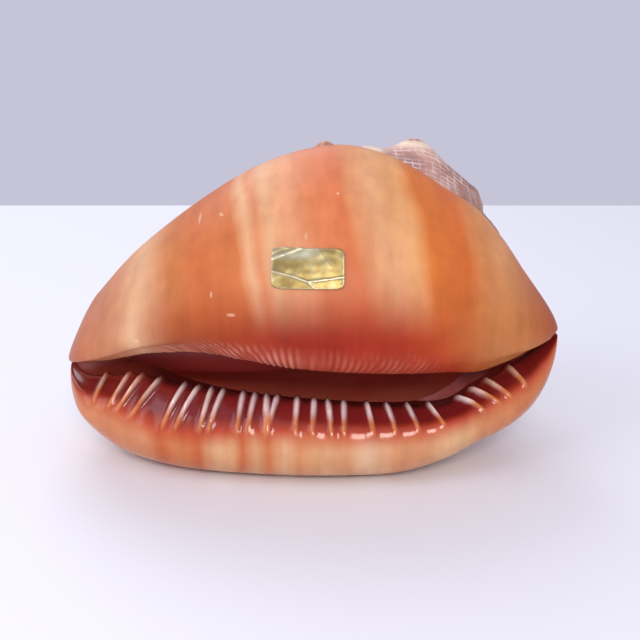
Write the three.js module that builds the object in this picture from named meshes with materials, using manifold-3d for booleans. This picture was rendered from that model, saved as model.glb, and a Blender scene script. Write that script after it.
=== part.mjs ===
// Carved cameo helmet shell, lying on its outer lip with the mouth towards -Y.
// Millimetres, +Z up. X runs along the coiling axis, from the siphonal canal at -X to the spire at +X.
// The shell is one piece: the whorls, the glossy shield and lip around the mouth, and the carving
// are all one wall of shell. A foil label is stuck on the shield.
import * as THREE from "three";
import { mergeVertices } from "three/addons/utils/BufferGeometryUtils.js";
import Module from "manifold-3d";

const wasm = await Module();
wasm.setup();

// Driving dimensions
const CANAL_TIP = -79; // X of the siphonal canal's end
const LIP_END = 72.5; // X of the lip's end beside the spire
const APEX = 63; // X of the spire's tip
const BASE_TIP = -77; // X of the whorls' end behind the canal
const WALL = 5.5; // thickness of the body whorl's wall
const GROWTH_START = 0.93; // whorl radius at 0 degrees, as a share of the radius at the back
const GROWTH_PER_DEGREE = 1 / 2600;
const SEEN = { from: 66, to: 306, turn: 6 }; // degrees: the whorls' facets that the shield doesn't hide
const HIDDEN_TURNS = [315, 335, 0, 25, 50]; // the few facets behind the shield
const HIDDEN_CUT = 0.36; // share of the radius left out behind the shield
const SADDLE = { height: 4.2, phi: 116, spread: 20 }; // the swelling of the back behind the shield's edge
const FRONT_Y = -43; // the shield's and the lip's furthest point forward
const REST_TRIM = 0.5; // depth of the worn flats that the shell stands on
const LABEL = { x: -3.3, z: 64.8, width: 20, rise: 9.9, thickness: 0.25, gap: 0.35 };
const CAMEO = { x: -3, z: 45, halfWidth: 27, halfHeight: 25, depth: 2.2 };

const { cos, sin, sqrt, min, max, abs, PI, exp } = Math;
const radians = THREE.MathUtils.degToRad;
const mix = THREE.MathUtils.lerp;
const step = THREE.MathUtils.smoothstep;

// A smooth function through hand-set [position, value] pairs. It holds its end values.
function through(...pairs) {
  const slopes = pairs.map((_, i) => {
    const [xa, va] = pairs[max(i - 1, 0)];
    const [xb, vb] = pairs[min(i + 1, pairs.length - 1)];
    return (vb - va) / (xb - xa);
  });
  return (at) => {
    let i = 0;
    while (i < pairs.length - 2 && at > pairs[i + 1][0]) i += 1;
    const [xa, va] = pairs[i];
    const [xb, vb] = pairs[i + 1];
    const t = min(max((at - xa) / (xb - xa), 0), 1);
    const bulge = (slopes[i] * (1 - t) - slopes[i + 1] * t) * (xb - xa) * t * (1 - t);
    return va + (vb - va) * t * t * (3 - 2 * t) + bulge;
  };
}

// A closed surface over a row of closed rings, with a point at each end.
function loft(rings, first, last) {
  const count = rings[0].length;
  const points = [first, ...rings.flat(), last];
  const index = [];
  const at = (ring, i) => 1 + ring * count + (i % count);
  for (let i = 0; i < count; i += 1) {
    index.push(0, at(0, i + 1), at(0, i));
    for (let ring = 0; ring < rings.length - 1; ring += 1) {
      const [a, b, c, d] = [at(ring, i), at(ring, i + 1), at(ring + 1, i + 1), at(ring + 1, i)];
      index.push(a, b, c, a, c, d);
    }
    index.push(points.length - 1, at(rings.length - 1, i), at(rings.length - 1, i + 1));
  }
  return new THREE.BufferGeometry().setFromPoints(points).setIndex(index);
}

// Positions from one end to the other that crowd together towards both ends.
function crowdedEnds(from, to, count) {
  return Array.from({ length: count }, (_, i) => {
    const angle = (PI * (i + 1)) / (count + 1);
    return mix(from, to, (1 - cos(angle)) / 2);
  });
}

// A geometry as a solid for joining and cutting, and back again.
function solid(geometry) {
  const mesh = new wasm.Mesh({
    numProp: 3,
    vertProperties: new Float32Array(geometry.getAttribute("position").array),
    triVerts: new Uint32Array(geometry.getIndex().array),
  });
  return new wasm.Manifold(mesh);
}

function geometryOf(made) {
  const { vertProperties, triVerts } = made.getMesh();
  return new THREE.BufferGeometry()
    .setAttribute("position", new THREE.BufferAttribute(vertProperties, 3))
    .setIndex(new THREE.BufferAttribute(triVerts, 1));
}

// Whorls: the spire, the knobbed body whorl and the tapered base, around a drooping axis.
// The angle phi starts at the mouth side (-Y), and passes the top, the back and the underside.
const axisZ = through(
  [BASE_TIP, 27], [-60, 31.5], [-40, 37.5], [-20, 42], [5, 45], [28, 45.8], [APEX, 46.5],
);
const axisY = through([BASE_TIP, 6], [-60, 3.5], [-40, 2], [APEX, 2]);
const whorlProfile = through(
  [BASE_TIP, 0], [-75.5, 6], [-72, 10], [-66, 14], [-58, 19.5], [-50, 25.5], [-40, 31.5],
  [-25, 38], [-10, 41.5], [5, 43], [18, 43.6], [28, 43.8], [36, 42.5], [43, 38.8], [47, 35], [50.5, 30],
  [53.5, 23.5], [56, 17], [59, 9.5], [61.5, 4], [APEX, 0],
);
const flangeDip = through([14, 0], [24, 2.5], [30, 4], [38, 5.2], [45, 6], [50, 4], [55, 0.5], [APEX, 0]);
const KNOB_ROWS = [
  { x: 30, height: 3.2, width: 6, phase: 0 },
  { x: 15, height: 3.2, width: 5.5, phase: 12 },
  { x: 1, height: 4.6, width: 5, phase: 0 },
  { x: -16, height: 2.2, width: 5, phase: 12 },
];
const KNOB_PITCH = 24; // degrees between knobs along a row
const KNOB_SPREAD = 0.27; // a knob's half width, as a share of the pitch
const KNOB_ZONE = { from: 38, to: -26, step: 4 }; // X of the even stations that carry the knobs
const UNDERSIDE = 270; // phi of the side that the shell lies on
const BODY_RADIUS = 42;
const SPIRE = { from: 30, rim: 36, shrink: 0.62, suture: 2, knob: 1.8, knobPitch: 24 };

// Distance from the carving's middle, where 1 is its oval edge. The carving is on the back alone.
function cameoReach(x, phi) {
  if (abs(phi - 180) > 80) return Infinity;
  const dz = whorlProfile(x) * sin(radians(phi)) + axisZ(x) - CAMEO.z;
  return Math.hypot((x - CAMEO.x) / CAMEO.halfWidth, dz / CAMEO.halfHeight);
}

// A round hump that comes once in every pitch.
function repeatedHump(at, pitch) {
  const share = (((at / pitch) % 1) + 1) % 1;
  return exp(-(((share - 0.5) / KNOB_SPREAD) ** 2));
}

function bodyKnobs(x, phi) {
  const aroundMouth = step(phi, 84, 104) * (1 - step(phi, 305, 325));
  const underneath = 1 - 0.6 * exp(-(((phi - UNDERSIDE) / 30) ** 2));
  const height = KNOB_ROWS.reduce((sum, row) => {
    const across = exp(-(((x - row.x) / row.width) ** 2));
    return sum + row.height * across * repeatedHump(phi + row.phase, KNOB_PITCH);
  }, 0);
  return height * aroundMouth * underneath * step(cameoReach(x, phi), 1, 1.25);
}

// The spire's earlier whorls: a spiral suture groove, and a row of small knobs between its turns.
function spireRelief(radius, phi) {
  if (radius > SPIRE.rim || radius < 1) return 0;
  const turns = Math.log(radius / SPIRE.rim) / Math.log(SPIRE.shrink) + phi / 360;
  const share = turns - Math.floor(turns);
  const groove = exp(-((min(share, 1 - share) / 0.13) ** 2));
  const ridge = exp(-(((share - 0.5) / 0.22) ** 2)) * repeatedHump(phi, SPIRE.knobPitch);
  const scale = (radius / SPIRE.rim) * (1 - step(radius, 0.85 * SPIRE.rim, SPIRE.rim));
  return scale * (SPIRE.knob * ridge - SPIRE.suture * groove);
}

function onWhorl(x, phi, radius, lift = 0) {
  const angle = radians(phi);
  const outward = min(radius / BODY_RADIUS, 1); // the spire faces +X at the apex, and out at its rim
  const reach = radius + lift * outward;
  return new THREE.Vector3(
    x + (x > SPIRE.from ? lift * sqrt(1 - outward * outward) : 0),
    axisY(x) - reach * cos(angle),
    axisZ(x) + reach * sin(angle),
  );
}

const growth = (phi) => GROWTH_START + phi * GROWTH_PER_DEGREE;

// Stations along the whorls, close together on the spire and the base's tip and even under the knobs.
const crowdedAt = (tip, length, count) =>
  Array.from({ length: count }, (_, i) => tip + length * ((i + 1) / (count + 1)) ** 1.6);
const evenly = (from, to, stride) =>
  Array.from({ length: 1 + abs(to - from) / stride }, (_, i) => from + Math.sign(to - from) * stride * i);
const WHORL_STATIONS = [
  ...crowdedAt(APEX, KNOB_ZONE.from - APEX, 10),
  ...evenly(KNOB_ZONE.from, KNOB_ZONE.to, KNOB_ZONE.step),
  ...crowdedAt(BASE_TIP, KNOB_ZONE.to - BASE_TIP, 8).reverse(),
];
const WHORL_TURNS = [...evenly(SEEN.from, SEEN.to, SEEN.turn), ...HIDDEN_TURNS];

// The whorls' radius: cut back behind the shield, with a dip along its edge and a saddle behind that.
function whorlRadius(x, phi) {
  const turned = phi < 180 ? phi : phi - 360;
  const onFront = step(turned, -55, -40);
  const underShield = HIDDEN_CUT * onFront * (1 - step(turned, 50, 72));
  const dip = flangeDip(x) * onFront * (1 - step(turned, 82, 102));
  const swell = exp(-(((phi - SADDLE.phi) / SADDLE.spread) ** 2));
  const saddle = SADDLE.height * swell * step(x, -30, 0) * (1 - step(x, 33, 44));
  return whorlProfile(x) * growth(phi) * (1 - underShield) - dip + saddle;
}

// The whorls' outer surface, or the surface that lies deeper by an inset.
function whorls(inset = 0) {
  const rings = WHORL_STATIONS.map((x) =>
    WHORL_TURNS.map((phi) => {
      const radius = whorlRadius(x, phi);
      const lift = bodyKnobs(x, phi) + (x > SPIRE.from ? spireRelief(radius, phi) : 0);
      return onWhorl(x, phi, max(radius - inset, radius / 2), lift);
    }),
  );
  return loft(rings, onWhorl(APEX, 0, 0), onWhorl(BASE_TIP, 0, 0));
}

// Front: the shield above the mouth and the rolled outer lip below it, as sections along X.
const endBend = through(
  [CANAL_TIP, 22], [-70, 17], [-60, 12], [-40, 5], [-20, 1.5], [0, 0], [20, 1], [40, 4.5],
  [60, 14], [LIP_END, 20],
);
const lipBottom = through(
  [CANAL_TIP, 13], [-72, 9], [-67, 5.5], [-59, 2], [-50, 0.3], [-36, -REST_TRIM], [10, -REST_TRIM], [24, 0],
  [38, 3.5], [46, 6.5], [54, 8.5], [62, 11.5], [LIP_END, 12],
);
const lipShoulder = through(
  [CANAL_TIP, 22], [-65, 20.5], [-50, 17], [-35, 16.5], [0, 17], [22, 17], [40, 19],
  [53, 22.5], [60, 25.5], [LIP_END, 29],
);
const throatLow = through(
  [CANAL_TIP, 23], [-67, 24.5], [-58, 26.5], [-50, 26.5], [-35, 25], [-20, 24], [0, 22.5], [24, 20.5],
  [38, 20.5], [46, 24], [54, 27], [62, 30], [LIP_END, 34],
);
const innerLip = through(
  [CANAL_TIP, 29], [-66, 31], [-58, 33.5], [-50, 36], [-35, 38], [-20, 36], [-6, 34], [9, 32.8], [24, 32],
  [38, 31.5], [46, 30.5], [54, 31.5], [62, 33.5], [LIP_END, 37],
);
const shieldTop = through(
  [CANAL_TIP, 37], [-74, 42], [-69, 47.5], [-61, 56.5], [-53, 64], [-37, 76], [-21, 85.5], [-6, 91],
  [9, 92.7], [24, 88.5], [39, 80], [47, 75], [54.5, 67], [62, 57], [LIP_END, 48],
);
const shieldTopY = through(
  [CANAL_TIP, 3], [-60, 1], [-40, 1], [-20, 3], [0, 3], [20, 1], [40, -4], [60, -8], [LIP_END, -10],
);
const mouthDepth = through(
  [CANAL_TIP, 6], [-65, 10], [-50, 16], [-35, 22], [30, 22], [48, 13], [60, 7], [66, 4], [LIP_END, 2],
);
const backY = through([CANAL_TIP, 8], [-65, 3], [-50, -3], [40, -4], [52, -5], [LIP_END, -8]);
const ROUND_ENDS = [
  { x: -70, tip: CANAL_TIP, y: -1, z: 26 },
  { x: 58, tip: LIP_END, y: -13, z: 38.5 },
];

// The section's control points at X, from the lip's root round the lip, the mouth and the shield.
function frontSection(x) {
  const front = FRONT_Y + endBend(x);
  const [low, shoulder, throat] = [lipBottom(x), lipShoulder(x), throatLow(x)];
  const [inner, top, topY] = [innerLip(x), shieldTop(x), shieldTopY(x)];
  const back = backY(x);
  const rise = (share) => mix(inner, top, share);
  const depth = front + 11 + mouthDepth(x);
  const lipRoot = min(back - 2, front + 34);
  const points = [
    [lipRoot, low + 7],
    [mix(lipRoot, front, 0.38), low + 1],
    [front + 13, low],
    [front + 3.8, low + 3.5],
    [front, mix(low, shoulder, 0.55)],
    [front + 2, shoulder],
    [front + 6.5, mix(shoulder, throat, 0.62)],
    [front + 11.5, throat],
    [front + 16, throat - 1],
    [depth, mix(throat, inner, 0.2)],
    [depth, mix(throat, inner, 0.8)],
    [front + 15, inner + 1],
    [front + 9, inner],
    [front + 4, inner + 3.5],
    [front + 0.6, rise(0.17)],
    [front - 0.3, rise(0.36)],
    [mix(front, topY, 0.16), rise(0.62)],
    [mix(front, topY, 0.52), rise(0.86)],
    [topY, top],
    [topY + 3, top - 2.5],
    [mix(topY + 2.5, back, 0.3), top - 7],
    [back, rise(0.55)],
    [back, mix(low, inner, 0.7)],
  ];
  const end = ROUND_ENDS.find((cap) => (x - cap.x) / (cap.tip - cap.x) > 0);
  if (!end) return points;
  const keep = sqrt(1 - ((x - end.x) / (end.tip - end.x)) ** 2);
  return points.map(([y, z]) => [mix(end.y, y, keep), mix(end.z, z, keep)]);
}

function frontCurve(x) {
  const points = frontSection(x).map(([y, z]) => new THREE.Vector3(x, y, z));
  return new THREE.CatmullRomCurve3(points, true, "centripetal");
}

// Each control stretch of the section is cut into this many facets, fewer where the whorls hide it.
const SECTION_FACETS = [1, 1, 2, 2, 2, 2, 1, 1, 1, 1, 1, 1, 2, 2, 2, 2, 2, 2, 2, 1, 1, 1, 1];

function shieldAndLip() {
  const share = SECTION_FACETS.flatMap((facets, stretch) =>
    Array.from({ length: facets }, (_, i) => (stretch + i / facets) / SECTION_FACETS.length),
  );
  const rings = crowdedEnds(LIP_END, CANAL_TIP, 40).map((x) => {
    const curve = frontCurve(x);
    return share.map((t) => curve.getPoint(t));
  });
  const tip = (cap) => new THREE.Vector3(cap.tip, cap.y, cap.z);
  return loft(rings, tip(ROUND_ENDS[1]), tip(ROUND_ENDS[0]));
}

// Living chamber: the hollow that runs from the mouth back inside the body whorl.
const CHAMBER = { mouth: 330, end: 80, columella: 12, x: -1, facets: 14 };
const chamberLength = through([CHAMBER.end, 30], [200, 46], [290, 50], [CHAMBER.mouth, 51]);

function chamber() {
  const widest = whorlProfile(CHAMBER.x);
  const ring = (phi) => {
    const open = sqrt(step(phi, CHAMBER.end - 6, CHAMBER.end + 45));
    const outer = widest * growth(phi) - WALL - 3 * step(phi, 290, CHAMBER.mouth);
    const middle = (CHAMBER.columella + outer) / 2;
    const half = ((outer - CHAMBER.columella) / 2) * open;
    return Array.from({ length: CHAMBER.facets }, (_, i) => {
      const angle = (2 * PI * i) / CHAMBER.facets;
      const x = CHAMBER.x + chamberLength(phi) * open * cos(angle);
      return onWhorl(x, phi, ((middle + half * sin(angle)) * whorlProfile(x)) / widest);
    });
  };
  const rings = [CHAMBER.mouth, ...crowdedEnds(CHAMBER.mouth, CHAMBER.end, 14)].map(ring);
  const centre = (phi) => onWhorl(CHAMBER.x, phi, (CHAMBER.columella + widest - WALL) / 2);
  return loft(rings, centre(CHAMBER.mouth), centre(CHAMBER.end));
}

// Teeth: pale ridges across the lip's inner face, as [X of the inner end, X of the outer end].
const TEETH = [
  [-65, -67.5], [-57.2, -62.6], [-53, -60], [-47.2, -55.6], [-39.6, -45.8], [-35.5, -41.9], [-31.7, -34.8],
  [-28.2, -32.2], [-22.4, -23.9], [-18.9, -20.9], [-15.6, -15.8], [-12.3, -15.2], [-6.6, -7.2], [-1.7, -2.2],
  [2.2, 3.3], [6.9, 6.9], [13.6, 15.2], [19.3, 21.7], [25.4, 28.2], [31.6, 35.6], [39.9, 47.6], [44, 52.3],
  [49, 55.8], [56.5, 60.8],
];
const TOOTH = { outer: 4.9, inner: 7.2, width: 1.35, height: 1.7 };

// A low-facet ball, stretched to the half sizes given.
function ball(halfX, halfY, halfZ) {
  const round = new THREE.SphereGeometry(1, 6, 3).deleteAttribute("normal").deleteAttribute("uv");
  return mergeVertices(round).scale(halfX, halfY, halfZ);
}

// One tooth, lying on the lip from its shoulder up to the throat.
function tooth([inner, outer]) {
  const on = (x, control) => frontCurve(x).getPoint(control / SECTION_FACETS.length);
  const control = (TOOTH.outer + TOOTH.inner) / 2;
  const x = (inner + outer) / 2;
  const along = on(inner, TOOTH.inner).sub(on(outer, TOOTH.outer));
  const half = along.length() / 2;
  const up = on(x + 1, control).sub(on(x - 1, control)).cross(along).normalize();
  const side = along.normalize().clone().cross(up);
  const place = new THREE.Matrix4().makeBasis(side, along, up).setPosition(on(x, control));
  return solid(ball(TOOTH.width, half, TOOTH.height).applyMatrix4(place));
}

// The gaps at the mouth's two ends: the siphonal canal, and the notch beside the spire.
function endNotches() {
  const canal = ball(11, 16, 2.6).translate(CANAL_TIP, -10, 27.5);
  const notch = ball(5, 12, 1.4).translate(LIP_END + 1, -17, 38.6);
  return solid(canal).add(solid(notch));
}

// Carving: the ground around a bust in profile is cut down inside an oval, so the bust stands in relief.
// The bust's outline is seen from behind, facing the canal, from the breast round the face and the hair.
const BUST = [
  [11.5, -20], [13, -16.8], [8.2, -13.5], [5.6, -9], [6.8, -6.3], [10.4, -5.6], [11.7, -3.4], [10.5, -1.5],
  [11.6, 0], [12.2, 1.7], [11.7, 3], [14.3, 4.2], [11.7, 8.4], [11.4, 10.2], [10.4, 14], [7.5, 17.8], [1, 20],
  [-6.5, 18.4], [-10.5, 14], [-14.6, 12.6], [-17.5, 8.2], [-16.4, 3.6], [-12, 1.5], [-7.2, -1], [-5.4, -6],
  [-7, -11], [-12.5, -14], [-16, -17], [-14.5, -19.8], [-7, -21.6], [4, -21.6],
];

// A straight prism through the shell's back, from an outline in X and Z.
function throughBack(outline) {
  const prism = new THREE.ExtrudeGeometry(new THREE.Shape(outline), { depth: 60, bevelEnabled: false });
  prism.deleteAttribute("normal").deleteAttribute("uv");
  return solid(mergeVertices(prism.rotateX(PI / 2).translate(0, 65, 0)));
}

function carving() {
  const edge = new THREE.EllipseCurve(CAMEO.x, CAMEO.z, CAMEO.halfWidth, CAMEO.halfHeight);
  const oval = edge.getPoints(36).slice(1);
  const bust = BUST.map(([across, up]) => new THREE.Vector2(CAMEO.x - across, CAMEO.z + up)).reverse();
  return throughBack(oval).subtract(throughBack(bust)).subtract(solid(whorls(CAMEO.depth)));
}

function shell() {
  const whole = solid(whorls()).add(solid(shieldAndLip()));
  const toothed = TEETH.map(tooth).reduce((made, one) => made.add(one), whole);
  const table = new THREE.BoxGeometry(400, 400, 50).translate(0, 0, -25);
  const underTable = mergeVertices(table.deleteAttribute("normal").deleteAttribute("uv"));
  const cuts = [chamber(), underTable].map(solid);
  return [...cuts, endNotches(), carving()].reduce((made, cut) => made.subtract(cut), toothed);
}

// Foil label: a thin plate with rounded corners that follows the shield, close over it.
function onShield(x, z) {
  const curve = frontCurve(x);
  let [low, high] = [13, 18]; // the shield's control points, from the inner lip to the top edge
  for (let i = 0; i < 24; i += 1) {
    const middle = (low + high) / 2;
    if (curve.getPoint(middle / SECTION_FACETS.length).z < z) low = middle;
    else high = middle;
  }
  return curve.getPoint(low / SECTION_FACETS.length);
}

function offShield(x, z, lift) {
  const alongX = onShield(x + 1, z).sub(onShield(x - 1, z));
  const alongZ = onShield(x, z + 1).sub(onShield(x, z - 1));
  return onShield(x, z).addScaledVector(alongX.cross(alongZ).normalize(), lift);
}

function foilLabel() {
  const squared = (value) => Math.sign(value) * abs(value) ** 0.25;
  const ring = (share, lift) =>
    Array.from({ length: 24 }, (_, i) => {
      const angle = (2 * PI * (i + 0.5)) / 24;
      const across = (share * LABEL.width * squared(cos(angle))) / 2;
      const up = (share * LABEL.rise * squared(sin(angle))) / 2;
      return offShield(LABEL.x + across, LABEL.z + up, lift);
    });
  const [under, over] = [LABEL.gap, LABEL.gap + LABEL.thickness];
  const rings = [ring(0.5, under), ring(1, under), ring(1, over), ring(0.5, over)];
  return loft(rings, offShield(LABEL.x, LABEL.z, under), offShield(LABEL.x, LABEL.z, over));
}

const shellMaterial = new THREE.MeshStandardMaterial({ color: 0xd9854f, roughness: 0.3, metalness: 0 });
const foilMaterial = new THREE.MeshStandardMaterial({ color: 0xb09a5e, roughness: 0.35, metalness: 0.9 });
const shellMesh = new THREE.Mesh(geometryOf(shell()), shellMaterial);
shellMesh.name = "shell";
const labelMesh = new THREE.Mesh(foilLabel(), foilMaterial);
labelMesh.name = "foil_label";
const group = new THREE.Group();
group.add(shellMesh, labelMesh);

// The frame's origin is at the middle of the whole thing's box, on the surface it stands on.
const box = new THREE.Box3().setFromObject(group);
const middle = box.getCenter(new THREE.Vector3());
group.children.forEach((mesh) => mesh.geometry.translate(-middle.x, -middle.y, -box.min.z));

export default group;
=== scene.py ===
from bisect import bisect_right
from math import atan2, cos, exp, floor, hypot, log, pi, radians, sin, sqrt

import bmesh
import bpy
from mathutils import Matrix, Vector, noise


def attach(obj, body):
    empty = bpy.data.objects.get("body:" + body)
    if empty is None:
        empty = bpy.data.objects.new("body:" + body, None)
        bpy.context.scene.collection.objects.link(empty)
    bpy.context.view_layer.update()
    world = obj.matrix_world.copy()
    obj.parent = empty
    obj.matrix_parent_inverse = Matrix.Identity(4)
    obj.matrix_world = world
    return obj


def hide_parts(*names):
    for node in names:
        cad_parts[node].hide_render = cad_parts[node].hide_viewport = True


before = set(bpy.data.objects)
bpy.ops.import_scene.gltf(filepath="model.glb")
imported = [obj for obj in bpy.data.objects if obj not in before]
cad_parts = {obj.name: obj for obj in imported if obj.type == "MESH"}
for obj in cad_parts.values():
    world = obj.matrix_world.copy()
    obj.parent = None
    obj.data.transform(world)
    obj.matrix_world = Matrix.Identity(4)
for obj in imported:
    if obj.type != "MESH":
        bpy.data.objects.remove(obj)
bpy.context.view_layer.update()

# View: the shell is seen from the mouth side, a little from above and from close by.
# Shell sizes below are in millimetres about the shell's own axes; placed() brings them into the frame.
SHELL_MIDDLE = Vector((-3.2637, 2.5775, 0.0))


def placed(x, y, z):
    return (Vector((x, y, z)) - SHELL_MIDDLE) * 0.001


camera = bpy.data.objects.new("camera", bpy.data.cameras.new("camera"))
camera.data.sensor_width = 36.0
camera.data.lens = 56.25
camera.location = placed(0.0, -38.0 - 278.0 * cos(radians(18.0)), 50.0 + 278.0 * sin(radians(18.0)))
camera.rotation_euler = (radians(90.0 - 18.0), 0.0, 0.0)
bpy.context.scene.collection.objects.link(camera)
bpy.context.scene.camera = camera
bpy.context.scene.view_settings.view_transform = "Standard"


# Table: a plain white matt table top that ends some way behind the shell, with soft daylight.
# A soft light stands in front and above, and weaker ones on the left and behind.
def new_object(name, bm):
    mesh = bpy.data.meshes.new(name)
    bm.to_mesh(mesh)
    bm.free()
    made = bpy.data.objects.new(name, mesh)
    bpy.context.scene.collection.objects.link(made)
    return made


def node_material(name):
    material = bpy.data.materials.new(name)
    material.use_nodes = True
    return material, material.node_tree.nodes["Principled BSDF"]


bm = bmesh.new()
bmesh.ops.create_grid(bm, x_segments=4, y_segments=4, size=0.5)
bmesh.ops.scale(bm, verts=bm.verts, vec=(3.0, 1.17, 1.0))
bmesh.ops.translate(bm, verts=bm.verts, vec=(0.0, -0.22, 0.0))
table = new_object("table", bm)
table_white, shader = node_material("table_white")
shader.inputs["Base Color"].default_value = (0.86, 0.87, 0.9, 1.0)
shader.inputs["Roughness"].default_value = 0.55
table.data.materials.append(table_white)

world = bpy.data.worlds.new("daylight")
world.use_nodes = True
world.node_tree.nodes["Background"].inputs["Color"].default_value = (0.69, 0.675, 0.83, 1.0)
world.node_tree.nodes["Background"].inputs["Strength"].default_value = 0.82
bpy.context.scene.world = world

for name, place, size, power, tint in (
    ("window", (0.08, -0.86, 0.58), 0.3, 4.0, (1.0, 0.96, 0.9)),
    ("left_fill", (-0.75, -0.35, 0.55), 0.7, 2.6, (0.95, 0.97, 1.0)),
    ("back_fill", (-0.25, 0.65, 0.7), 0.6, 2.6, (0.97, 0.98, 1.0)),
):
    lamp = bpy.data.lights.new(name, "AREA")
    lamp.size = size
    lamp.energy = power
    lamp.color = tint
    holder = bpy.data.objects.new(name, lamp)
    holder.location = place
    holder.rotation_euler = (Vector((0.0, 0.0, 0.04)) - Vector(place)).to_track_quat("-Z", "Y").to_euler()
    bpy.context.scene.collection.objects.link(holder)


# Shell, whorls: the spire, the knobbed body whorl and the tapered base of a helmet shell.
# It is grown lime shell: a rough mottled crust outside, with paler and darker layers below it.
# A carver has cut through the layers on the back, so a pale bust stands on an orange ground.
def through(*pairs):
    places = [place for place, _ in pairs]
    values = [value for _, value in pairs]
    last = len(pairs) - 1
    slopes = []
    for i in range(last + 1):
        a, b = max(i - 1, 0), min(i + 1, last)
        slopes.append((values[b] - values[a]) / (places[b] - places[a]))

    def value_at(place):
        i = min(max(bisect_right(places, place) - 1, 0), last - 1)
        span = places[i + 1] - places[i]
        t = min(max((place - places[i]) / span, 0.0), 1.0)
        bulge = (slopes[i] * (1.0 - t) - slopes[i + 1] * t) * span * t * (1.0 - t)
        return values[i] + (values[i + 1] - values[i]) * t * t * (3.0 - 2.0 * t) + bulge

    return value_at


def smooth(value, low, high):
    t = min(max((value - low) / (high - low), 0.0), 1.0)
    return t * t * (3.0 - 2.0 * t)


def mix(a, b, share):
    return a + (b - a) * share


def hump(offset, width):
    return exp(-((offset / width) ** 2))


def spread(start, end, count, power=1.0):
    return [mix(start, end, (i / count) ** power) for i in range(count)]


# A closed skin over rings of points: a grid, wrapped round and drawn together at both ends.
# paint gives a corner colour for each point, which the materials read.
def skin(name, rings, paint):
    across, along = len(rings[0]), len(rings)
    bm = bmesh.new()
    bmesh.ops.create_grid(bm, x_segments=across, y_segments=along - 1, size=0.5)
    tint = bm.loops.layers.float_color.new("tint")
    tints = {}
    for vert in bm.verts:
        i = round((vert.co.x + 0.5) * across) % across
        j = round((vert.co.y + 0.5) * (along - 1))
        vert.co = placed(*rings[j][i])
        tints[vert] = paint[j][i]
    for face in bm.faces:
        for corner in face.loops:
            corner[tint] = tints[corner.vert]
    bmesh.ops.remove_doubles(bm, verts=bm.verts, dist=1e-8)
    bmesh.ops.recalc_face_normals(bm, faces=bm.faces)
    return new_object(name, bm)


APEX, BASE_TIP = 63.0, -77.0
axis_z = through(
    (BASE_TIP, 27), (-60, 31.5), (-40, 37.5), (-20, 42), (5, 45), (28, 45.8), (APEX, 46.5))
axis_y = through((BASE_TIP, 6), (-60, 3.5), (-40, 2), (APEX, 2))
whorl_profile = through(
    (BASE_TIP, 0), (-75.5, 6), (-72, 10), (-66, 14), (-58, 19.5), (-50, 25.5), (-40, 31.5),
    (-25, 38), (-10, 41.5), (5, 43), (18, 43.6), (28, 43.8), (36, 42.5), (43, 38.8), (47, 35), (50.5, 30),
    (53.5, 23.5), (56, 17), (59, 9.5), (61.5, 4), (APEX, 0))
flange_dip = through((14, 0), (24, 2.5), (30, 4), (38, 5.2), (45, 6), (50, 4), (55, 0.5), (APEX, 0))
KNOB_ROWS = ((30, 3.2, 6, 0), (15, 3.2, 5.5, 12), (1, 4.6, 5, 0), (-16, 2.2, 5, 12))
KNOB_PITCH, KNOB_SPREAD = 24.0, 0.27
CAMEO_X, CAMEO_Z, CAMEO_WIDE, CAMEO_HIGH, CAMEO_DEPTH = -3.0, 45.0, 27.0, 25.0, 2.2


def growth(phi):
    return 0.93 + phi / 2600.0


def repeated_hump(at, pitch):
    return hump((at / pitch) % 1.0 - 0.5, KNOB_SPREAD)


def cameo_reach(x, z, phi):
    if abs(phi - 180.0) > 80.0:
        return 9.0
    return hypot((x - CAMEO_X) / CAMEO_WIDE, (z - CAMEO_Z) / CAMEO_HIGH)


def body_knobs(x, phi):
    shown = smooth(phi, 84, 104) * (1.0 - smooth(phi, 305, 325))
    shown *= 1.0 - 0.6 * hump(phi - 270.0, 30.0)
    return shown * sum(
        height * hump(x - at, width) * repeated_hump(phi + phase, KNOB_PITCH)
        for at, height, width, phase in KNOB_ROWS)


def spire_relief(radius, phi):
    if radius > 36.0 or radius < 1.0:
        return 0.0
    turns = log(radius / 36.0) / log(0.62) + phi / 360.0
    share = turns - floor(turns)
    groove = hump(min(share, 1.0 - share), 0.13)
    ridge = hump(share - 0.5, 0.22) * repeated_hump(phi, 24.0)
    return radius / 36.0 * (1.0 - smooth(radius, 30.6, 36.0)) * (1.8 * ridge - 2.0 * groove)


# The carving is a bust in profile, drawn as seen from behind: across to the right, and up.
BUST = (
    (11.5, -20), (13, -16.8), (8.2, -13.5), (5.6, -9), (6.8, -6.3), (10.4, -5.6), (11.7, -3.4),
    (10.5, -1.5), (11.6, 0), (12.2, 1.7), (11.7, 3), (14.3, 4.2), (11.7, 8.4), (11.4, 10.2), (10.4, 14),
    (7.5, 17.8), (1, 20), (-6.5, 18.4), (-10.5, 14), (-14.6, 12.6), (-17.5, 8.2), (-16.4, 3.6), (-12, 1.5),
    (-7.2, -1), (-5.4, -6), (-7, -11), (-12.5, -14), (-16, -17), (-14.5, -19.8), (-7, -21.6), (4, -21.6))


# A point on a smooth closed curve through some points; at counts points from the first.
def on_curve(points, at):
    count = len(points)
    i = floor(at)
    t = at - i
    p = [Vector(points[(i + k) % count]) for k in (-1, 0, 1, 2)]
    gaps = [max((p[k + 1] - p[k]).length ** 0.5, 1e-6) for k in range(3)]
    start = (p[1] - p[0]) / gaps[0] - (p[2] - p[0]) / (gaps[0] + gaps[1]) + (p[2] - p[1]) / gaps[1]
    end = (p[2] - p[1]) / gaps[1] - (p[3] - p[1]) / (gaps[1] + gaps[2]) + (p[3] - p[2]) / gaps[2]
    start, end = start * gaps[1], end * gaps[1]
    bend = (p[2] - p[1]) * 3.0 - start * 2.0 - end
    twist = (p[1] - p[2]) * 2.0 + start + end
    return p[1] + start * t + bend * t * t + twist * t * t * t


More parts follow.
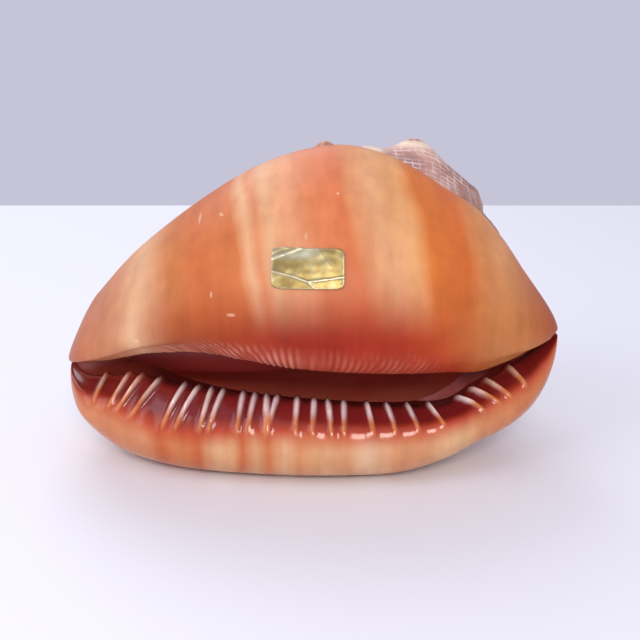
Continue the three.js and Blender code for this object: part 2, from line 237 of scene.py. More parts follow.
BUST_EDGE = [on_curve(BUST, i / 3.0) for i in range(3 * len(BUST) + 1)]
HAIRLINE = [Vector(p) for p in (
    (11.2, 14.9), (7.6, 12.8), (4.8, 9.8), (2.7, 6.8), (0.8, 5.2), (-1.6, 3.2), (-3.6, 0.6), (-8, -1.4))]
JAW = [Vector(p) for p in ((1.2, 6.5), (1.2, 1.6), (1.9, -1.6), (3.6, -4.4), (7.4, -6.4))]
RIBBON = [Vector(p) for p in ((8.6, 17.6), (4.6, 13.9), (0.4, 9.8), (-3.8, 5.4), (-7.8, 1.0))]
NECKLACE = [Vector(p) for p in ((-6.2, -9.6), (-2.5, -11.8), (2.0, -12.6), (7.6, -12.2))]
NECKLINE = [Vector(p) for p in ((-16, -15.4), (-9, -14.6), (-2, -16.2), (5, -17.2), (14.5, -14.5))]
BUN = Vector((-13.0, 7.4))


# Nearest distance from a spot to a drawn line, its side (left is above zero), and how far along it is.
def line_reach(line, spot):
    best = (1e9, 1.0, 0.0)
    run = 0.0
    for a, b in zip(line, line[1:]):
        along = b - a
        share = min(max((spot - a).dot(along) / along.length_squared, 0.0), 1.0)
        gap = spot - a - along * share
        if gap.length < best[0]:
            best = (gap.length, 1.0 if along.cross(gap) > 0.0 else -1.0, run + along.length * share)
        run += along.length
    return best


def inside(outline, spot):
    odd = False
    for a, b in zip(outline, outline[1:]):
        if (a.y > spot.y) != (b.y > spot.y):
            if spot.x < (b.x - a.x) * (spot.y - a.y) / (b.y - a.y) + a.x:
                odd = not odd
    return odd


def dimple(spot, x, y, wide, high):
    return exp(-(((spot.x - x) / wide) ** 2) - ((spot.y - y) / high) ** 2)


def stroke(spot, a, b, width):
    return hump(line_reach([Vector(a), Vector(b)], spot)[0], width)


# Height of the bust over its ground in millimetres, 0 outside it.
def bust_height(spot):
    edge = line_reach(BUST_EDGE, spot)[0]
    if not inside(BUST_EDGE, spot):
        return 0.0
    height = 0.75 * smooth(edge, 0.0, 0.55) + 1.0 * sqrt(1.0 - (1.0 - min(edge / 4.5, 1.0)) ** 2)
    gap, side, _ = line_reach(HAIRLINE, spot)
    hair = smooth(-gap * side, -0.1, 0.7) if spot.y > -2.5 else 0.0
    gap, side, _ = line_reach(JAW, spot)
    face = smooth(gap * side, -0.2, 0.9) * smooth(spot.y, -7.6, -6.2) * (1.0 - hair)
    height += 0.45 * face
    # brow, eye, nose, lips, chin, cheek
    features = (
        0.3 * stroke(spot, (11.4, 9.5), (7.4, 9.6), 0.7) - 0.5 * dimple(spot, 9.3, 7.6, 1.7, 1.2)
        + 0.5 * dimple(spot, 9.5, 7.0, 0.8, 0.6) + 0.26 * stroke(spot, (10.5, 7.7), (7.7, 7.2), 0.32)
        + 0.16 * stroke(spot, (10.2, 6.3), (8.0, 6.5), 0.3)
        + 0.4 * stroke(spot, (11.3, 8.8), (13.4, 4.8), 0.8) + 0.42 * dimple(spot, 11.6, 3.9, 0.8, 0.62)
        - 0.25 * dimple(spot, 10.4, 4.2, 0.5, 0.8)
        + 0.34 * dimple(spot, 11.4, 1.8, 0.9, 0.5) + 0.34 * dimple(spot, 11.0, 0.1, 0.9, 0.55)
        - 0.4 * stroke(spot, (12.2, 0.95), (9.8, 0.75), 0.3) - 0.2 * dimple(spot, 10.2, -1.5, 1.1, 0.5)
        + 0.4 * dimple(spot, 10.1, -3.8, 1.5, 1.3) + 0.35 * dimple(spot, 6.4, 1.8, 3.2, 3.4))
    height += 1.5 * features * (1.0 - hair)
    # ear below the hair
    ear = hypot((spot.x + 0.1) / 1.15, (spot.y - 3.0) / 1.75)
    height += (0.5 * hump(ear - 1.0, 0.32) + 0.2 * dimple(spot, 0.2, 2.0, 0.6, 0.7)) * (1.0 - 0.6 * hair)
    # hair: locks that run back to a knot, held by a ribbon
    knot = spot - BUN
    ribbon = smooth(line_reach(RIBBON, spot)[0], 1.05, 0.75) * hair
    in_knot = 1.0 - smooth(knot.length, 4.2, 5.2)
    turn = atan2(knot.y, knot.x)
    locks = cos(46.0 * turn + 1.5 * sin(0.42 * knot.length)) * (1.0 - in_knot)
    coil = cos(3.0 * turn + 3.6 * knot.length) * in_knot
    height += hair * (0.45 + (0.3 * locks + 0.3 * coil) * (1.0 - ribbon) + 0.35 * ribbon)
    height += 0.55 * sqrt(max(1.0 - (knot.length / 5.2) ** 2, 0.0))
    height -= 0.25 * hump(knot.length - 5.2, 0.45) * hair
    # neck beads and the folded dress
    gap, _, run = line_reach(NECKLACE, spot)
    height += 0.32 * hump(gap, 0.55) * (0.55 + 0.45 * cos(2.0 * pi * run / 1.25))
    gap, side, _ = line_reach(NECKLINE, spot)
    dress = smooth(-gap * side, -0.3, 0.4) * (1.0 if spot.y < -13.0 else 0.0)
    fold = atan2(spot.y + 4.0, spot.x + 21.0)
    height += dress * (0.3 + 0.24 * cos(38.0 * fold + 0.6 * sin(0.5 * spot.x)))
    return max(height, 0.0)


# The whorls are cut back behind the shield, with a dip along its edge and a saddle behind that.
def whorl_radius(x, phi):
    turned = phi if phi < 180.0 else phi - 360.0
    on_front = smooth(turned, -55, -40)
    hidden = 0.36 * on_front * (1.0 - smooth(turned, 50, 72))
    dip = flange_dip(x) * on_front * (1.0 - smooth(turned, 82, 102))
    saddle = 4.2 * hump(phi - 116.0, 20.0) * smooth(x, -30, 0) * (1.0 - smooth(x, 33, 44))
    return whorl_profile(x) * growth(phi) * (1.0 - hidden) - dip + saddle


# One point of the whorls, with the tint (relief, carved share, knob height).
def whorl_point(x, phi):
    radius = whorl_radius(x, phi)
    angle = radians(phi)
    z = axis_z(x) + radius * sin(angle)
    reach = cameo_reach(x, z, phi)
    knob = body_knobs(x, phi) * smooth(reach, 1.0, 1.25)
    lift = knob + (spire_relief(radius, phi) if x > 30.0 else 0.0)
    outward = min(radius / 42.0, 1.0)
    carved = 1.0 - smooth(reach, 0.97, 1.0)
    relief = bust_height(Vector((CAMEO_X - x, z - CAMEO_Z))) if reach < 1.0 else 0.0
    lift += relief - CAMEO_DEPTH * carved
    far = radius + lift * outward
    ahead = lift * sqrt(1.0 - outward * outward) if x > 30.0 else 0.0
    point = (x + ahead, axis_y(x) - far * cos(angle), max(axis_z(x) + far * sin(angle), 0.0))
    return point, (relief / 2.6, carved, min(knob / 5.6, 1.0), 1.0)


whorl_turns = spread(60, 128, 44) + spread(128, 232, 175) + spread(232, 318, 44) + spread(318, 420, 12)
whorl_places = [APEX] + spread(APEX - 0.15, 27, 40, 1.3) + spread(27, -33, 134)
whorl_places += spread(-33, BASE_TIP, 26) + [BASE_TIP]
grid = [[whorl_point(x, phi if phi < 360 else phi - 360) for phi in whorl_turns] for x in whorl_places]
whorls = skin("whorls", [[p for p, _ in ring] for ring in grid], [[c for _, c in ring] for ring in grid])

# Shell, shield and lip: the glossy callus that the animal laid down round the mouth.
# The shield is spread over the front of the whorls, and the outer lip is rolled and toothed.
CANAL_TIP, LIP_END = -79.0, 72.5
end_bend = through(
    (CANAL_TIP, 22), (-70, 17), (-60, 12), (-40, 5), (-20, 1.5), (0, 0), (20, 1), (40, 4.5),
    (60, 14), (LIP_END, 20))
lip_bottom = through(
    (CANAL_TIP, 13), (-72, 9), (-67, 5.5), (-59, 2), (-50, 0.3), (-36, -0.5), (10, -0.5), (24, 0),
    (38, 3.5), (46, 6.5), (54, 8.5), (62, 11.5), (LIP_END, 12))
lip_shoulder = through(
    (CANAL_TIP, 22), (-65, 20.5), (-50, 17), (-35, 16.5), (0, 17), (22, 17), (40, 19),
    (53, 22.5), (60, 25.5), (LIP_END, 29))
throat_low = through(
    (CANAL_TIP, 23), (-67, 24.5), (-58, 26.5), (-50, 26.5), (-35, 25), (-20, 24), (0, 22.5),
    (24, 20.5), (38, 20.5), (46, 24), (54, 27), (62, 30), (LIP_END, 34))
inner_lip = through(
    (CANAL_TIP, 29), (-66, 31), (-58, 33.5), (-50, 36), (-35, 38), (-20, 36), (-6, 34), (9, 32.8),
    (24, 32), (38, 31.5), (46, 30.5), (54, 31.5), (62, 33.5), (LIP_END, 37))
shield_top = through(
    (CANAL_TIP, 37), (-74, 42), (-69, 47.5), (-61, 56.5), (-53, 64), (-37, 76), (-21, 85.5), (-6, 91),
    (9, 92.7), (24, 88.5), (39, 80), (47, 75), (54.5, 67), (62, 57), (LIP_END, 48))
shield_top_y = through(
    (CANAL_TIP, 3), (-60, 1), (-40, 1), (-20, 3), (0, 3), (20, 1), (40, -4), (60, -8), (LIP_END, -10))
mouth_depth = through(
    (CANAL_TIP, 6), (-65, 10), (-50, 16), (-35, 22), (30, 22), (48, 13), (60, 7), (66, 4), (LIP_END, 2))
back_y = through((CANAL_TIP, 8), (-65, 3), (-50, -3), (40, -4), (52, -5), (LIP_END, -8))
ROUND_ENDS = ((-70.0, CANAL_TIP, -1.0, 26.0), (58.0, LIP_END, -13.0, 38.5))
TEETH = (
    (-65, -67.5), (-57.2, -62.6), (-53, -60), (-47.2, -55.6), (-39.6, -45.8), (-35.5, -41.9),
    (-31.7, -34.8), (-28.2, -32.2), (-22.4, -23.9), (-18.9, -20.9), (-15.6, -15.8), (-12.3, -15.2),
    (-6.6, -7.2), (-1.7, -2.2), (2.2, 3.3), (6.9, 6.9), (13.6, 15.2), (19.3, 21.7), (25.4, 28.2),
    (31.6, 35.6), (39.9, 47.6), (44, 52.3), (49, 55.8), (56.5, 60.8))
tooth_lean = through(
    (CANAL_TIP, 0), (-67, 3), (-60, 6.5), (-52, 8.2), (-45, 6.3), (-40, 6), (-34, 3.4), (-24, 1.6),
    (-15.5, 1.2), (-7, 0.6), (0, 0), (7, -0.2), (15, -1.6), (22, -2.5), (28, -2.9), (36, -4), (47.6, -7.7),
    (52.3, -8.3), (55.8, -6.8), (60.8, -4.3), (66, -2), (LIP_END, 0))
pleat_lean = through(
    (CANAL_TIP, 0), (-62, 5), (-40, 5), (-25, 3), (-12, 1), (5, -1), (25, -2.5), (LIP_END, 0))


def front_section(x):
    front = -43.0 + end_bend(x)
    low, shoulder, throat = lip_bottom(x), lip_shoulder(x), throat_low(x)
    inner, top, top_y = inner_lip(x), shield_top(x), shield_top_y(x)
    back = back_y(x)
    depth = front + 11.0 + mouth_depth(x)
    root = min(back - 2.0, front + 34.0)
    points = [
        (root, low + 7), (mix(root, front, 0.38), low + 1), (front + 13, low),
        (front + 3.8, low + 3.5), (front, mix(low, shoulder, 0.55)), (front + 2, shoulder),
        (front + 6.5, mix(shoulder, throat, 0.62)), (front + 11.5, throat), (front + 16, throat - 1),
        (depth, mix(throat, inner, 0.2)), (depth, mix(throat, inner, 0.8)), (front + 15, inner + 1),
        (front + 9, inner), (front + 4, inner + 3.5), (front + 0.6, mix(inner, top, 0.17)),
        (front - 0.3, mix(inner, top, 0.36)), (mix(front, top_y, 0.16), mix(inner, top, 0.62)),
        (mix(front, top_y, 0.52), mix(inner, top, 0.86)), (top_y, top), (top_y + 3, top - 2.5),
        (mix(top_y + 2.5, back, 0.3), top - 7), (back, mix(inner, top, 0.55)),
        (back, mix(low, inner, 0.7))]
    for start, tip, end_y, end_z in ROUND_ENDS:
        share = (x - start) / (tip - start)
        if share > 0.0:
            keep = sqrt(max(1.0 - share * share, 0.0))
            points = [(mix(end_y, y, keep), mix(end_z, z, keep)) for y, z in points]
    return points


# Ridge shares, 0 to 1, of the teeth and of the fine pleats at a place on the front.
def teeth_at(x, at):
    window = smooth(at, 4.5, 5.1) * (1.0 - smooth(at, 7.05, 7.6))
    if window <= 0.0:
        return 0.0
    share = (at - 5.0) / 2.1
    return window * max(hump(x - mix(outer, inner, share), mix(0.72, 0.95, share)) for inner, outer in TEETH)


def pleats_at(x, at):
    window = smooth(at, 11.3, 11.9) * (1.0 - smooth(at, 13.0, 14.1))
    strength = smooth(x, -60, -42) * (1.0 - 0.6 * smooth(x, -12, 10)) * (1.0 - smooth(x, 26, 42))
    wander = 0.3 * noise.noise((0.3 * x, 0.0, 5.0))
    ridge = 0.5 + 0.5 * cos(2.0 * pi * (x + pleat_lean(x) * (at - 12.3) + wander) / 1.9)
    return window * strength * ridge ** 2


front_steps = (
    spread(0, 2, 5) + spread(2, 4.6, 12) + spread(4.6, 7.6, 22) + spread(7.6, 11, 7)
    + spread(11, 14, 24) + spread(14, 18.6, 18) + spread(18.6, 20, 8) + spread(20, 23, 4))


# One ring of the front. It leans with the teeth and with the pleats, so that these run along the grid.
def front_ring(start):
    ring, paint = [], []
    fade = smooth(start, CANAL_TIP, CANAL_TIP + 9) * (1.0 - smooth(start, LIP_END - 9, LIP_END))
    for at in front_steps:
        across = smooth(at, 4.6, 7.4) * (1.0 - smooth(at, 7.6, 10.5))
        upward = (at - 12.3) * smooth(at, 10.5, 11.6) * (1.0 - smooth(at, 13.0, 16.0))
        x = start + fade * (tooth_lean(start) * across - pleat_lean(start) * upward)
        points = front_section(x)
        spot = on_curve(points, at)
        ahead = on_curve(points, at + 0.02) - on_curve(points, at - 0.02)
        ahead = ahead.normalized() if ahead.length > 1e-7 else ahead
        tooth, pleat = teeth_at(x, at), pleats_at(x, at)
        crest = smooth(at, 3.0, 4.4) * (1.0 - smooth(at, 5.2, 6.4))
        waves = crest * 0.3 * noise.noise((0.28 * x, 0.6 * at, 2.0))
        out = fade * (mix(0.6, 1.9, smooth(at, 4.9, 6.4)) * tooth + 0.4 * pleat + waves)
        ring.append((x, spot.x - ahead.y * out, max(spot.y + ahead.x * out, 0.0)))
        paint.append((tooth, pleat, at / 23.0, 1.0))
    return ring, paint


def front_place(share):
    angle = pi * share
    return mix(LIP_END, CANAL_TIP, (1.0 - cos(angle - 0.24 * sin(2.0 * angle))) / 2.0)


fronts = [front_ring(front_place(i / 384.0)) for i in range(385)]
front = skin("front", [ring for ring, _ in fronts], [paint for _, paint in fronts])


# Shell, hollow: the animal's living chamber, which runs from the mouth back round the whorl.
# It is a smooth dark hollow. The canal and the notch at the mouth's two ends are open gaps.
chamber_length = through((80, 30), (200, 46), (290, 50), (330, 51))


def chamber_ring(phi):
    widest = whorl_profile(-1.0)
    opened = sqrt(smooth(phi, 74, 125))
    outer = widest * growth(phi) - 5.5 - 3.0 * smooth(phi, 290, 330)
    middle, half = (12.0 + outer) / 2.0, (outer - 12.0) / 2.0 * opened
    ring = []
    for i in range(48):
        angle = 2.0 * pi * i / 48.0
        x = -1.0 + chamber_length(phi) * opened * cos(angle)
        radius = (middle + half * sin(angle)) * whorl_profile(x) / widest
        ring.append((x, axis_y(x) - radius * cos(radians(phi)), axis_z(x) + radius * sin(radians(phi))))
    return ring


def chamber_end(phi):
    radius = (12.0 + whorl_profile(-1.0) - 5.5) / 2.0
    return [(-1.0, axis_y(-1.0) - radius * cos(radians(phi)), axis_z(-1.0) + radius * sin(radians(phi)))] * 48


rings = [chamber_end(330)] + [chamber_ring(phi) for phi in spread(330, 80, 44)] + [chamber_end(80)]
chamber = skin("chamber", rings, [[(0.0, 0.0, 0.0, 1.0)] * 48 for _ in rings])

bm = bmesh.new()
for place, sizes in (((CANAL_TIP, -10, 27.5), (11, 16, 2.6)), ((LIP_END + 1, -17, 38.6), (5, 12, 1.4))):
    ball = bmesh.ops.create_uvsphere(bm, u_segments=40, v_segments=24, radius=0.001)["verts"]
    bmesh.ops.scale(bm, verts=ball, vec=sizes)
    bmesh.ops.translate(bm, verts=ball, vec=placed(*place))
notches = new_object("notches", bm)


# Shell, finish: the callus is polished, the crust matt and the chamber dark.
# Colours are mixed from growth bands along X, from zones round the mouth and from cloudy variation.
def add(tree, kind, inputs, **settings):
    node = tree.nodes.new(kind)
    for name, value in settings.items():
        setattr(node, name, value)
    for key, value in inputs.items():
        if isinstance(value, bpy.types.NodeSocket):
            tree.links.new(value, node.inputs[key])
        else:
            node.inputs[key].default_value = value
    return node


def shade(red, green, blue):
    light = [v / 255.0 for v in (red, green, blue)]
    return [v / 12.92 if v <= 0.04045 else ((v + 0.055) / 1.055) ** 2.4 for v in light] + [1.0]


def calc(tree, operation, a, b=0.0):
    return add(tree, "ShaderNodeMath", {0: a, 1: b}, operation=operation).outputs[0]


def window(tree, value, low, high):
    inputs = {"Value": value, "From Min": low, "From Max": high}
    return add(tree, "ShaderNodeMapRange", inputs, interpolation_type="SMOOTHSTEP").outputs["Result"]


def blend(tree, share, a, b):
    return add(tree, "ShaderNodeMix", {0: share, 6: a, 7: b}, data_type="RGBA").outputs[2]


def cloud(tree, where, scale, detail=3.0):
    inputs = {"Vector": where, "Scale": scale, "Detail": detail}
    return add(tree, "ShaderNodeTexNoise", inputs).outputs["Fac"]


def ramp(tree, share, stops):
    node = add(tree, "ShaderNodeValToRGB", {"Fac": share})
    points = node.color_ramp.elements
    while len(points) < len(stops):
        points.new(0.5)
    for point, (at, colour) in zip(points, stops):
        point.position = at
        point.color = colour
    return node.outputs["Color"]


# Colour bands from (X in millimetres, red, green, blue) stops, over the shell's length.
def bands(tree, along, stops):
    share = add(tree, "ShaderNodeMapRange", {"Value": along, "From Min": -80.0, "From Max": 75.0})
    return ramp(tree, share.outputs["Result"], [((x + 80.0) / 155.0, shade(*rgb)) for x, *rgb in stops])


def shell_axes(tree):
    where = add(tree, "ShaderNodeTexCoord", {}).outputs["Object"]
    axes = add(tree, "ShaderNodeSeparateXYZ", {0: where}).outputs
    return where, [calc(tree, "MULTIPLY_ADD", axes[i], 1000.0) for i in range(3)]


def tints(tree):
    tint = add(tree, "ShaderNodeAttribute", {}, attribute_name="tint").outputs["Color"]
    return add(tree, "ShaderNodeSeparateColor", {0: tint}).outputs


callus, shader = node_material("callus")
tree = callus.node_tree
where, (x, _, z) = shell_axes(tree)
x.node.inputs[2].default_value = SHELL_MIDDLE.x
tooth, pleat, section = tints(tree)
haze = cloud(tree, where, 38.0)
fine = cloud(tree, where, 160.0, 5.0)
wander = calc(tree, "MULTIPLY_ADD", haze, 8.0)
wander.node.inputs[2].default_value = -4.0
slant = calc(tree, "MULTIPLY_ADD", z, 0.2)
slant.node.inputs[2].default_value = -12.0
along = calc(tree, "ADD", calc(tree, "ADD", x, slant), wander)
upper = bands(tree, along, (
    (-80, 218, 132, 92), (-62, 226, 152, 108), (-52, 236, 190, 150), (-43, 208, 132, 78),
    (-34, 208, 116, 63), (-22, 212, 124, 73), (-18.5, 230, 180, 138), (-16, 222, 146, 102),
    (-12, 230, 182, 140), (-8, 232, 168, 126), (-4, 230, 162, 120), (1, 222, 136, 92), (11, 220, 126, 81),
    (14, 226, 154, 108), (20, 230, 174, 130), (28, 234, 174, 118), (32, 222, 128, 60),
    (42, 218, 117, 56), (47, 222, 150, 94), (54, 226, 162, 108), (62, 206, 120, 66), (70, 196, 94, 48)))
lower = bands(tree, along, (
    (-80, 194, 114, 80), (-62, 204, 142, 108), (-56, 228, 184, 148), (-49, 192, 126, 90), (-43, 176, 90, 50),
    (-30, 170, 72, 34), (-18, 162, 54, 28), (-8, 156, 38, 19), (5, 160, 40, 21), (20, 174, 56, 25),
    (30, 190, 80, 34), (40, 193, 106, 54), (47, 200, 128, 74), (56, 198, 126, 73), (66, 178, 84, 40)))
colour = blend(tree, window(tree, z, 44.0, 66.0), lower, upper)
deep_red = calc(tree, "MULTIPLY", window(tree, x, -46.0, -18.0), window(tree, x, 52.0, 34.0))
spot_at = calc(tree, "MULTIPLY_ADD", section, 23.0)
wavy = calc(tree, "MULTIPLY_ADD", haze, 0.9)
wavy.node.inputs[2].default_value = -0.45
zone = calc(tree, "ADD", spot_at, wavy)
near_mouth = window(tree, zone, 15.3, 13.0)
colour = blend(tree, calc(tree, "MULTIPLY", near_mouth, deep_red), colour, shade(184, 58, 32))
pleated = window(tree, zone, 12.7, 12.0)
colour = blend(tree, pleated, colour, shade(98, 42, 38))
colour = blend(tree, calc(tree, "MULTIPLY", pleat, 0.9), colour, shade(230, 164, 148))
in_mouth = window(tree, spot_at, 11.9, 11.2)
canal = blend(tree, window(tree, x, -44.0, -62.0), shade(80, 20, 20), shade(158, 62, 48))
canal = blend(tree, window(tree, x, 36.0, 56.0), canal, shade(150, 54, 46))
colour = blend(tree, in_mouth, colour, canal)
lip = bands(tree, calc(tree, "ADD", x, wander), (
    (-75, 214, 138, 98), (-62, 206, 132, 90), (-52, 208, 138, 98), (-46.5, 198, 102, 54), (-41, 206, 128, 80),
    (-34.7, 202, 104, 54), (-30, 220, 172, 130), (-26, 218, 164, 120), (-23.5, 204, 110, 62),
    (-19.5, 220, 170, 128), (-16, 208, 120, 70), (-11, 222, 176, 134), (-6, 216, 148, 100),
    (2, 220, 170, 126), (8, 218, 160, 114), (14, 228, 190, 156), (21, 218, 154, 110), (30, 212, 150, 106),
    (41, 228, 186, 142), (48, 214, 144, 98), (58, 210, 130, 82), (70, 200, 116, 68)))
on_lip = window(tree, spot_at, 7.6, 7.0)
gap = blend(tree, window(tree, zone, 5.2, 6.3), shade(196, 78, 46), shade(126, 34, 34))
lip = blend(tree, window(tree, zone, 4.8, 5.6), lip, gap)
at_ends = calc(tree, "ADD", window(tree, x, -42.0, -56.0), window(tree, x, 38.0, 54.0))
tip = blend(tree, calc(tree, "MULTIPLY", at_ends, 0.75), shade(248, 226, 230), shade(222, 162, 116))
ridge = blend(tree, window(tree, zone, 5.9, 6.7), shade(214, 130, 78), tip)
lip = blend(tree, window(tree, tooth, 0.2, 0.95), lip, ridge)
colour = blend(tree, on_lip, colour, lip)
on_shield_face = window(tree, spot_at, 12.5, 13.0)
for spot_x, spot_z, wide, high in (
    (-35.3, 74.0, 0.4, 1.1), (-28.6, 76.0, 0.7, 0.35), (-3.9, 73.0, 0.35, 0.8), (-24.4, 53.0, 1.2, 0.5),
    (-52.0, 43.0, 0.8, 0.5), (5.1, 83.0, 0.5, 0.3), (-30.0, 58.0, 0.35, 0.8),
):
    across = calc(tree, "POWER", calc(tree, "DIVIDE", calc(tree, "SUBTRACT", x, spot_x), wide), 2.0)
    up = calc(tree, "POWER", calc(tree, "DIVIDE", calc(tree, "SUBTRACT", z, spot_z), high), 2.0)
    nick = calc(tree, "MULTIPLY", window(tree, calc(tree, "ADD", across, up), 1.6, 0.1), on_shield_face)
    colour = blend(tree, calc(tree, "MULTIPLY", nick, 0.45), colour, shade(246, 214, 186))
mottle = ramp(tree, fine, ((0.3, (0.9, 0.84, 0.76, 1.0)), (0.7, (1.02, 0.98, 0.92, 1.0))))
tall = add(tree, "ShaderNodeMapping", {"Vector": where, "Scale": (1.0, 0.3, 0.1)}).outputs["Vector"]
streak = cloud(tree, tall, 240.0, 4.0)
streak = ramp(tree, streak, ((0.35, (0.91, 0.87, 0.83, 1.0)), (0.6, (1.0, 1.0, 1.0, 1.0))))
for layer in (mottle, streak):
    inputs = {0: 1.0, 6: colour, 7: layer}
    colour = add(tree, "ShaderNodeMix", inputs, data_type="RGBA", blend_type="MULTIPLY").outputs[2]
tree.links.new(colour, shader.inputs["Base Color"])
inputs = {"Value": spot_at, "From Min": 7.0, "From Max": 9.0, "To Min": 0.08, "To Max": 0.36}
gloss = add(tree, "ShaderNodeMapRange", inputs)
wear_and_sheen = calc(tree, "MULTIPLY_ADD", fine, 0.16)
tree.links.new(gloss.outputs["Result"], wear_and_sheen.node.inputs[2])
tree.links.new(wear_and_sheen, shader.inputs["Roughness"])
inputs = {"Value": spot_at, "From Min": 8.0, "From Max": 13.0, "To Min": 0.42, "To Max": 0.2}
glint = add(tree, "ShaderNodeMapRange", inputs).outputs["Result"]
tree.links.new(glint, shader.inputs["Specular IOR Level"])
bump = add(tree, "ShaderNodeBump", {"Strength": 0.06, "Distance": 0.001, "Height": fine}).outputs["Normal"]
tree.links.new(bump, shader.inputs["Normal"])

crust, shader = node_material("crust")
tree = crust.node_tree
where, (x, y, z) = shell_axes(tree)
relief, carved, knob = tints(tree)
blotch = cloud(tree, where, 55.0, 4.0)
speck = cloud(tree, where, 210.0, 4.0)
colour = ramp(tree, blotch, (
    (0.32, shade(96, 56, 50)), (0.45, shade(156, 98, 68)), (0.54, shade(200, 154, 122)),
    (0.66, shade(226, 198, 178))))
rosy = calc(tree, "MULTIPLY", window(tree, z, 66.0, 82.0), 0.4)
colour = blend(tree, rosy, colour, shade(204, 164, 162))
browner = calc(tree, "MULTIPLY", window(tree, x, 36.0, 52.0), 0.5)
colour = blend(tree, browner, colour, shade(128, 80, 62))
colour = blend(tree, window(tree, knob, 0.08, 0.3), colour, shade(236, 212, 182))
colour = blend(tree, calc(tree, "MULTIPLY", window(tree, knob, 0.34, 0.52), 0.9), colour, shade(164, 98, 58))
turn = calc(tree, "ARCTAN2", calc(tree, "SUBTRACT", z, 45.0), calc(tree, "ADD", y, 1.7))
round_it = calc(tree, "MULTIPLY", turn, 43.0)
faint = calc(tree, "MULTIPLY_ADD", window(tree, z, 70.0, 84.0), 0.65)
faint.node.inputs[2].default_value = 0.35
for line, often, share in ((round_it, 1.7, 0.75), (x, 1.4, 0.4)):
    bent = calc(tree, "ADD", calc(tree, "MULTIPLY", line, often), calc(tree, "MULTIPLY", blotch, 6.0))
    ray = calc(tree, "ABSOLUTE", calc(tree, "SINE", bent))
    thin = calc(tree, "MULTIPLY", window(tree, ray, 0.62, 0.2), window(tree, speck, 0.36, 0.58))
    thin = calc(tree, "MULTIPLY", thin, faint)
    colour = blend(tree, calc(tree, "MULTIPLY", thin, share), colour, shade(238, 214, 204))
ground = ramp(tree, blotch, ((0.3, shade(150, 66, 30)), (0.7, shade(196, 98, 52))))
pale = ramp(tree, speck, ((0.3, shade(240, 222, 196)), (0.7, shade(250, 240, 224))))
cameo = blend(tree, window(tree, relief, 0.05, 0.5), ground, pale)
colour = blend(tree, carved, colour, cameo)
colour = blend(tree, window(tree, y, -7.0, -11.0), colour, shade(138, 36, 28))
tree.links.new(colour, shader.inputs["Base Color"])
rough = calc(tree, "MULTIPLY_ADD", carved, -0.25)
rough.node.inputs[2].default_value = 0.55
tree.links.new(rough, shader.inputs["Roughness"])
grain = calc(tree, "MULTIPLY", speck, calc(tree, "SUBTRACT", 1.0, carved))
bump = add(tree, "ShaderNodeBump", {"Strength": 0.35, "Distance": 0.001, "Height": grain}).outputs["Normal"]
tree.links.new(bump, shader.inputs["Normal"])

throat, shader = node_material("throat")
tree = throat.node_tree
where, _ = shell_axes(tree)
colour = ramp(tree, cloud(tree, where, 40.0), ((0.3, shade(236, 112, 90)), (0.7, shade(246, 140, 112))))
tree.links.new(colour, shader.inputs["Base Color"])
shader.inputs["Roughness"].default_value = 0.3
for piece, finish in ((whorls, crust), (front, callus), (chamber, throat), (notches, callus)):
    piece.data.materials.append(finish)

# The whorls and the front are grown together into one wall, and the hollows are cut from it.
for tool, operation in ((front, "UNION"), (chamber, "DIFFERENCE"), (notches, "DIFFERENCE")):
    cut = whorls.modifiers.new(operation, "BOOLEAN")
    cut.object = tool
    cut.operation = operation
    cut.solver = "MANIFOLD"
    cut.material_mode = "TRANSFER"
grown = whorls.evaluated_get(bpy.context.evaluated_depsgraph_get())
mesh = bpy.data.meshes.new_from_object(grown)
mesh.name = "shell_wall"
for piece in (whorls, front, chamber, notches):
    bpy.data.objects.remove(piece)
for face in mesh.polygons:
    face.use_smooth = True
mesh.set_sharp_from_angle(angle=radians(50.0))
shell = bpy.data.objects.new("shell_wall", mesh)
bpy.context.scene.collection.objects.link(shell)
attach(shell, "root")
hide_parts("shell")

# Label: a small gold foil label with round corners, stuck on the shield and creased by age.
# It is thin metal foil on paper, pressed on by hand.
# LABEL_TALL is measured on the foil, and LABEL_RISE upright, because the shield slopes back.
LABEL_X, LABEL_Z, LABEL_WIDE, LABEL_TALL, LABEL_RISE = -3.3, 64.8, 20.0, 12.0, 9.9
LABEL_GAP, LABEL_THICK = 0.42, 0.12
CREASES = (
    ([(0.0, 0.42), (0.31, 0.3), (0.5, 0.18), (1.0, 0.3)], 0.2), ([(0.5, 0.17), (0.61, 0.0)], 0.14),
    ([(0.0, 0.72), (0.4, 1.0)], 0.16), ([(0.0, 0.86), (0.2, 1.0)], 0.12), ([(0.62, 1.0), (0.8, 0.55)], 0.06))


def on_shield(x, z):
    points = front_section(x)
    low, high = 13.0, 18.0
    for _ in range(24):
        middle = (low + high) / 2.0
        if on_curve(points, middle).y < z:
            low = middle
        else:
            high = middle
    return Vector((x, *on_curve(points, low)))


def off_shield(x, z, lift):
    along_x = on_shield(x + 1.0, z) - on_shield(x - 1.0, z)
    along_z = on_shield(x, z + 1.0) - on_shield(x, z - 1.0)
    return on_shield(x, z) + along_x.cross(along_z).normalized() * lift


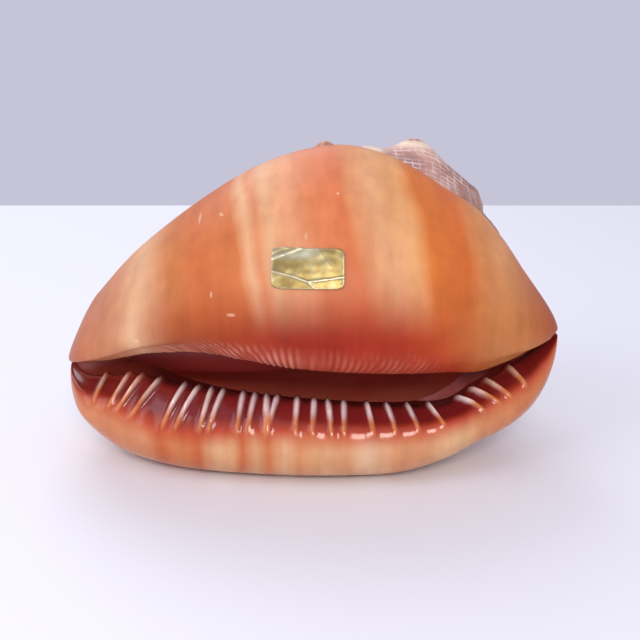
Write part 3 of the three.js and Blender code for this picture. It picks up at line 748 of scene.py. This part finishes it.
bm = bmesh.new()
bmesh.ops.create_grid(bm, x_segments=72, y_segments=40, size=1.0)
wear_and_sheen = bm.loops.layers.float_color.new("tint")
fold_rim_and_painted_sheen = {}
for vert in bm.verts:
    u, v = vert.co.x, vert.co.y
    square = max(abs(u), abs(v))
    rounded = (abs(u) ** 9 + abs(v) ** 9) ** (1.0 / 9.0)
    u, v = (u * square / rounded, v * square / rounded) if square > 0.0 else (0.0, 0.0)
    spot = Vector(((u + 1.0) / 2.0 * LABEL_WIDE, (v + 1.0) / 2.0 * LABEL_TALL))
    fold = 0.0
    for line, height in CREASES:
        crease = [Vector((a * LABEL_WIDE, b * LABEL_TALL)) for a, b in line]
        fold += height * hump(line_reach(crease, spot)[0], 0.32)
    swell = 0.1 * noise.noise((0.35 * spot.x, 0.5 * spot.y, 3.0))
    uneven = 0.5 + 0.5 * noise.noise((0.6 * spot.x, 0.6 * spot.y, 9.0))
    lift = LABEL_GAP + fold + swell + 0.12 * smooth(max(abs(u), abs(v)), 0.9, 1.0) * uneven
    vert.co = placed(*off_shield(LABEL_X + u * LABEL_WIDE / 2.0, LABEL_Z + v * LABEL_RISE / 2.0, lift))
    # A painted reflection: a pale band along the top of the foil, just right of the top-left crease, goes
    # into its colour as a sheen.
    past_fold = spot.y / LABEL_TALL - 0.62 - 0.4 * spot.x / LABEL_WIDE
    painted_sheen = smooth(past_fold, 0.3, 0.0) * smooth(spot.y, 7.6, 11.0) * (1.0 - smooth(spot.x, 8.5, 15.0))
    fold_rim_and_painted_sheen[vert] = (min(fold / 0.2, 1.0), smooth(max(abs(u), abs(v)), 0.93, 1.0), painted_sheen, 1.0)
for face in bm.faces:
    face.smooth = True
    for corner in face.loops:
        corner[wear_and_sheen] = fold_rim_and_painted_sheen[corner.vert]
bmesh.ops.recalc_face_normals(bm, faces=bm.faces)
bmesh.ops.solidify(bm, geom=bm.faces[:], thickness=LABEL_THICK * 0.001)
label = new_object("gold_label", bm)
foil, shader = node_material("gold_foil")
tree = foil.node_tree
where, _ = shell_axes(tree)
fold, rim, painted_sheen = tints(tree)
stain = cloud(tree, where, 260.0, 4.0)
colour = ramp(tree, stain, (
    (0.3, shade(138, 118, 70)), (0.55, shade(164, 144, 90)), (0.75, shade(188, 176, 132))))
# Painted reflection: the pale sheen band is mixed into the foil's own colour here.
colour = blend(tree, calc(tree, "MULTIPLY", painted_sheen, 0.8), colour, shade(224, 230, 204))
colour = blend(tree, calc(tree, "MULTIPLY", rim, 0.5), colour, shade(232, 224, 190))
colour = blend(tree, calc(tree, "MULTIPLY", fold, 0.5), colour, shade(240, 234, 206))
tree.links.new(colour, shader.inputs["Base Color"])
shader.inputs["Metallic"].default_value = 0.9
rough = add(tree, "ShaderNodeMapRange", {"Value": stain, "To Min": 0.32, "To Max": 0.5}).outputs["Result"]
tree.links.new(rough, shader.inputs["Roughness"])
bump = add(tree, "ShaderNodeBump", {"Strength": 0.12, "Distance": 0.0005, "Height": stain}).outputs["Normal"]
tree.links.new(bump, shader.inputs["Normal"])
label.data.materials.append(foil)
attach(label, "root")
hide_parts("foil_label")
